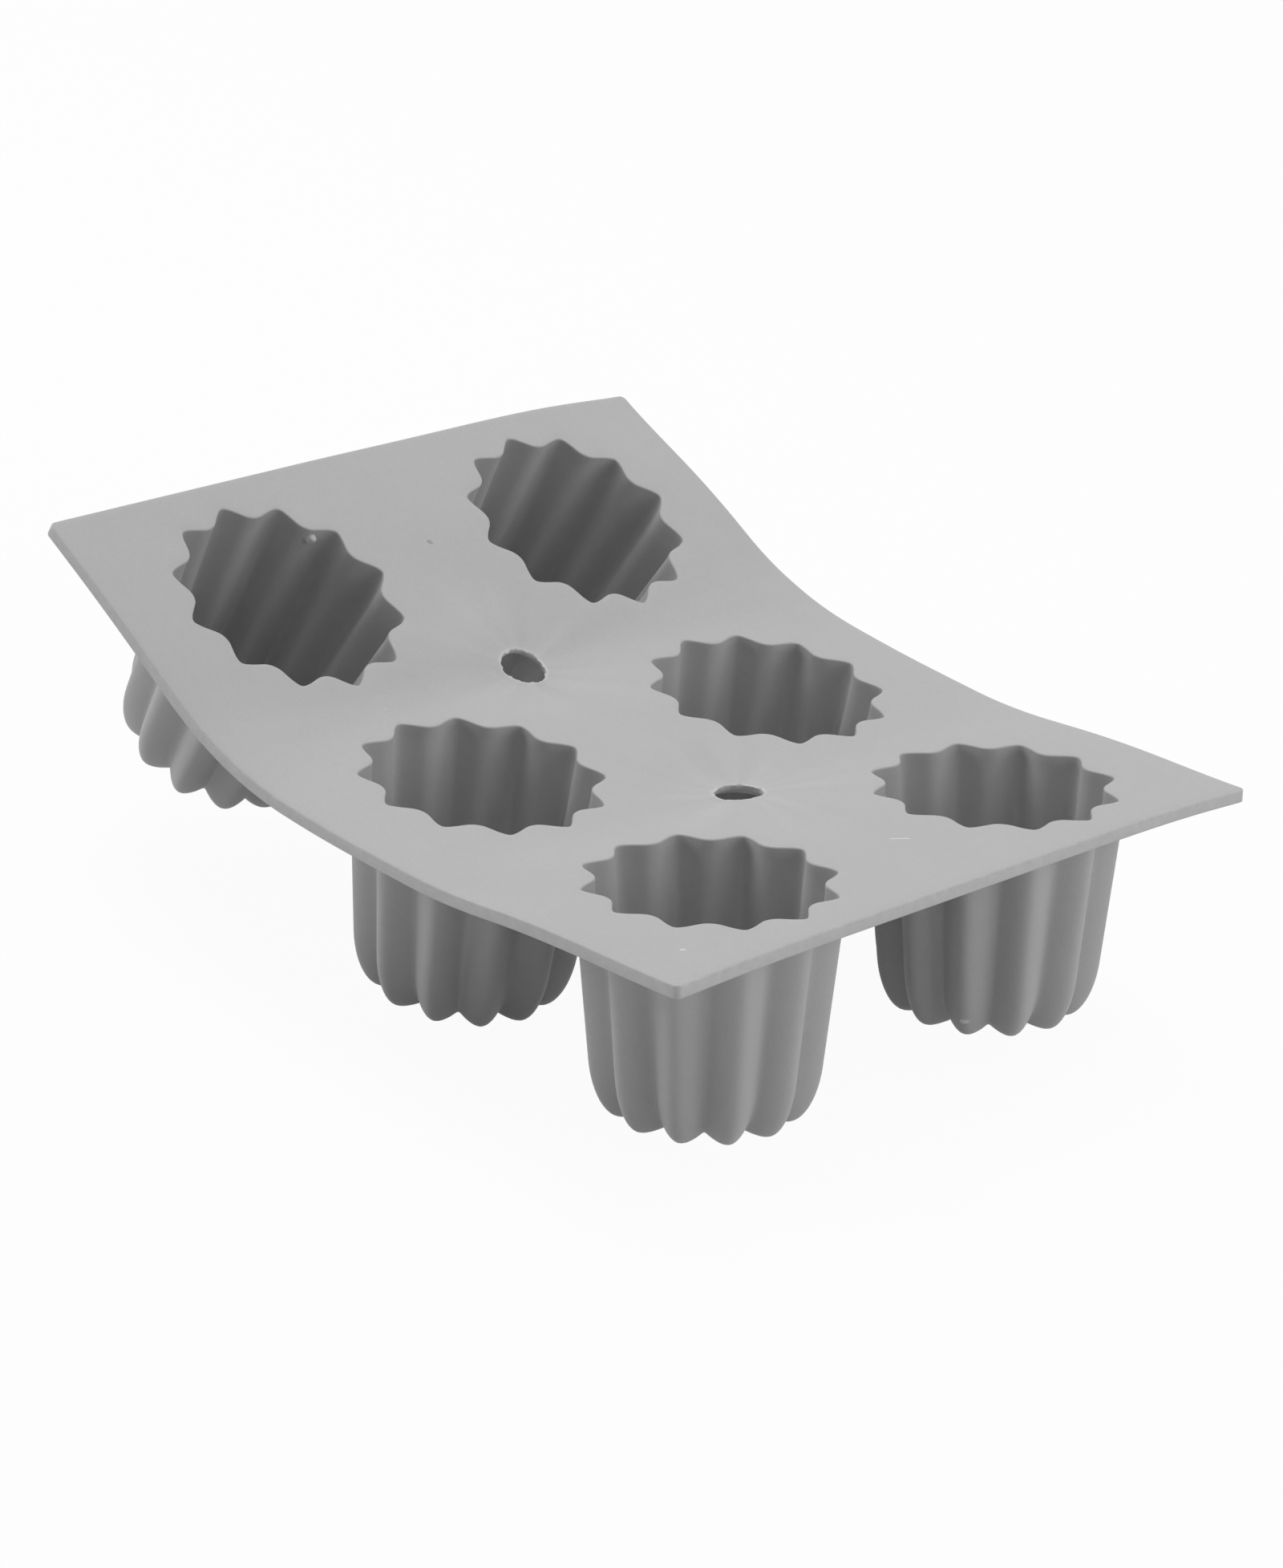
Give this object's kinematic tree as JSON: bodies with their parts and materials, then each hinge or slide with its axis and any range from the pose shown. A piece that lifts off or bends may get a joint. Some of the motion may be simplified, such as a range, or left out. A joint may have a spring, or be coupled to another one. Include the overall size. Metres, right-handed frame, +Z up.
{
  "type": "silicone cake mould",
  "caption": "Flexible baking mould: a thin rectangular deck with deep fluted round cups under it, bent up between its rows, with floors that push up to free the cakes.",
  "frame": {"origin": "on the surface that the mould stands on, under the middle of the bent mould's bounding box", "axes": "+X along the deck to the front row, +Y across it to the right-hand cups, +Z up, square to the level middle row"},
  "size_m": [0.2118, 0.176, 0.0793],
  "materials": {
    "deck_silicone": "satin",
    "cup_silicone": "satin"
  },
  "bodies": {
    "middle_row": {"deck_middle": "deck_silicone", "cup_middle_left": "cup_silicone", "floor_ring_middle_left": "cup_silicone", "cup_middle_right": "cup_silicone", "floor_ring_middle_right": "cup_silicone", "flex_web_front": "deck_silicone", "flex_web_rear": "deck_silicone"},
    "front_row": {"deck_front": "deck_silicone", "cup_front_left": "cup_silicone", "floor_ring_front_left": "cup_silicone", "cup_front_right": "cup_silicone", "floor_ring_front_right": "cup_silicone"},
    "rear_row": {"deck_rear": "deck_silicone", "cup_rear_left": "cup_silicone", "floor_ring_rear_left": "cup_silicone", "cup_rear_right": "cup_silicone", "floor_ring_rear_right": "cup_silicone"},
    "push_floor_front_left": {"push_floor_front_left": "cup_silicone"},
    "push_floor_front_right": {"push_floor_front_right": "cup_silicone"},
    "push_floor_middle_left": {"push_floor_middle_left": "cup_silicone"},
    "push_floor_middle_right": {"push_floor_middle_right": "cup_silicone"},
    "push_floor_rear_left": {"push_floor_rear_left": "cup_silicone"},
    "push_floor_rear_right": {"push_floor_rear_right": "cup_silicone"}
  },
  "joints": [
    {"name": "front_row_bend", "type": "hinge", "parent": "middle_row", "child": "front_row", "pos_m": [0.03655, 0, 0.05022], "axis": [0, -1, 0], "range_deg": [-29, 81], "stiffness_Nm_per_rad": 0.2, "springref_deg": 8, "deforming": ["flex_web_front"]},
    {"name": "rear_row_bend", "type": "hinge", "parent": "middle_row", "child": "rear_row", "pos_m": [-0.03341, 0, 0.05056], "axis": [0, 1, 0], "range_deg": [-43.5, 66.5], "stiffness_Nm_per_rad": 0.2, "springref_deg": 8.38, "deforming": ["flex_web_rear"]},
    {"name": "front_left_floor_push", "type": "slide", "parent": "front_row", "child": "push_floor_front_left", "axis": [-0.1564, 0, 0.9877], "range_m": [0, 0.006], "stiffness_N_per_m": 300, "deforming": ["floor_ring_front_left"]},
    {"name": "front_right_floor_push", "type": "slide", "parent": "front_row", "child": "push_floor_front_right", "axis": [-0.1564, 0, 0.9877], "range_m": [0, 0.006], "stiffness_N_per_m": 300, "deforming": ["floor_ring_front_right"]},
    {"name": "middle_left_floor_push", "type": "slide", "parent": "middle_row", "child": "push_floor_middle_left", "axis": [0, 0, 1], "range_m": [0, 0.006], "stiffness_N_per_m": 300, "deforming": ["floor_ring_middle_left"]},
    {"name": "middle_right_floor_push", "type": "slide", "parent": "middle_row", "child": "push_floor_middle_right", "axis": [0, 0, 1], "range_m": [0, 0.006], "stiffness_N_per_m": 300, "deforming": ["floor_ring_middle_right"]},
    {"name": "rear_left_floor_push", "type": "slide", "parent": "rear_row", "child": "push_floor_rear_left", "axis": [0.3987, 0, 0.9171], "range_m": [0, 0.006], "stiffness_N_per_m": 300, "deforming": ["floor_ring_rear_left"]},
    {"name": "rear_right_floor_push", "type": "slide", "parent": "rear_row", "child": "push_floor_rear_right", "axis": [0.3987, 0, 0.9171], "range_m": [0, 0.006], "stiffness_N_per_m": 300, "deforming": ["floor_ring_rear_right"]}
  ]
}
